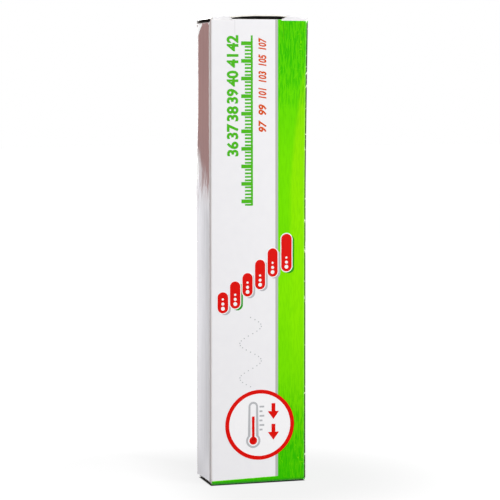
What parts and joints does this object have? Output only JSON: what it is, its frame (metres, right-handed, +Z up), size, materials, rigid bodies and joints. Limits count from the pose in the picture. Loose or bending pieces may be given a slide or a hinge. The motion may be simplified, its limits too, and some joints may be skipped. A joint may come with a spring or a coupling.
{
  "type": "clinical thermometer in a folding carton",
  "caption": "Slim upright tuck-end carton, white with a lime green edge, holding a capped case with a liquid-in-glass clinical thermometer and a folded leaflet.",
  "frame": {"origin": "middle of the base that the carton stands on, at the outer face of the bottom lid", "axes": "+Z up along the carton's height, -Y out of the printed front panel, +X to the right seen from the front"},
  "size_m": [0.0318, 0.016, 0.15],
  "materials": {
    "printed_board": "white coated folding board with a satin varnish",
    "green_board": "coated folding board printed lime green, satin varnish",
    "raw_board": "uncoated grey inner side of the board",
    "leaflet_paper": "thin matt printing paper",
    "case_plastic": "milky moulded plastic",
    "red_plastic": "moulded red plastic",
    "glass": "clear drawn glass",
    "silver_liquid": "bright liquid metal",
    "scale_enamel": "white opal plate with printed graduations",
    "clip_plastic": "moulded grey plastic"
  },
  "bodies": {
    "sleeve": {"front_panel": "printed_board", "back_panel": "printed_board", "left_side_panel": "printed_board", "right_side_panel": "green_board", "glue_flap": "raw_board"},
    "top_lid": {"top_lid": "printed_board"},
    "top_tuck": {"top_tuck_flap": "printed_board"},
    "top_dust_left": {"top_dust_flap_left": "printed_board"},
    "top_dust_right": {"top_dust_flap_right": "printed_board"},
    "bottom_lid": {"bottom_lid": "green_board"},
    "bottom_tuck": {"bottom_tuck_flap": "printed_board"},
    "bottom_dust_left": {"bottom_dust_flap_left": "printed_board"},
    "bottom_dust_right": {"bottom_dust_flap_right": "printed_board"},
    "leaflet": {"leaflet": "leaflet_paper"},
    "case": {"case_body": "case_plastic"},
    "cap": {"case_cap": "red_plastic"},
    "thermometer": {"glass_envelope": "glass", "bulb": "glass", "bulb_liquid": "silver_liquid", "capillary_tube": "glass", "scale_plate": "scale_enamel", "scale_clip": "clip_plastic", "end_plug": "red_plastic"},
    "column": {"liquid_column": "silver_liquid"}
  },
  "joints": [
    {"name": "top_lid_open", "type": "hinge", "parent": "sleeve", "child": "top_lid", "pos_m": [0, 0.00779, 0.1498], "axis": [-1, 0, 0], "range_deg": [0, 150]},
    {"name": "top_tuck_unfold", "type": "hinge", "parent": "top_lid", "child": "top_tuck", "pos_m": [0, -0.00689, 0.1498], "axis": [-1, 0, 0], "range_deg": [0, 15.1]},
    {"name": "top_dust_left_lift", "type": "hinge", "parent": "sleeve", "child": "top_dust_left", "pos_m": [-0.0157, 0, 0.14865], "axis": [0, -1, 0], "range_deg": [0, 90.1]},
    {"name": "top_dust_right_lift", "type": "hinge", "parent": "sleeve", "child": "top_dust_right", "pos_m": [0.0157, 0, 0.14865], "axis": [0, 1, 0], "range_deg": [0, 90.1]},
    {"name": "bottom_lid_open", "type": "hinge", "parent": "sleeve", "child": "bottom_lid", "pos_m": [0, -0.00779, 0.0002], "axis": [-1, 0, 0], "range_deg": [0, 150]},
    {"name": "bottom_tuck_unfold", "type": "hinge", "parent": "bottom_lid", "child": "bottom_tuck", "pos_m": [0, 0.00689, 0.0002], "axis": [-1, 0, 0], "range_deg": [0, 15.1]},
    {"name": "bottom_dust_left_drop", "type": "hinge", "parent": "sleeve", "child": "bottom_dust_left", "pos_m": [-0.0157, 0, 0.001], "axis": [0, 1, 0], "range_deg": [0, 90.1]},
    {"name": "bottom_dust_right_drop", "type": "hinge", "parent": "sleeve", "child": "bottom_dust_right", "pos_m": [0.0157, 0, 0.001], "axis": [0, -1, 0], "range_deg": [0, 90.1]},
    {"name": "leaflet_slide", "type": "slide", "parent": "sleeve", "child": "leaflet", "axis": [0, 0, 1], "range_m": [0, 0.005]},
    {"name": "case_slide", "type": "slide", "parent": "sleeve", "child": "case", "axis": [0, 0, 1], "range_m": [0, 0.004]},
    {"name": "cap_pull", "type": "slide", "parent": "case", "child": "cap", "axis": [0, 0, 1], "range_m": [0, 0.006]},
    {"name": "thermometer_slide", "type": "slide", "parent": "case", "child": "thermometer", "axis": [0, 0, 1], "range_m": [0, 0.0018]},
    {"name": "column_rise", "type": "slide", "parent": "thermometer", "child": "column", "axis": [0, 0, 1], "range_m": [0, 0.0434], "deforming": ["liquid_column"]}
  ],
  "couplings": [
    {"joint": "top_tuck_unfold", "follows": "top_lid_open", "ratio": 0.1},
    {"joint": "top_dust_left_lift", "follows": "top_lid_open", "ratio": 0.6},
    {"joint": "top_dust_right_lift", "follows": "top_lid_open", "ratio": 0.6},
    {"joint": "bottom_tuck_unfold", "follows": "bottom_lid_open", "ratio": 0.1},
    {"joint": "bottom_dust_left_drop", "follows": "bottom_lid_open", "ratio": 0.6},
    {"joint": "bottom_dust_right_drop", "follows": "bottom_lid_open", "ratio": 0.6}
  ]
}
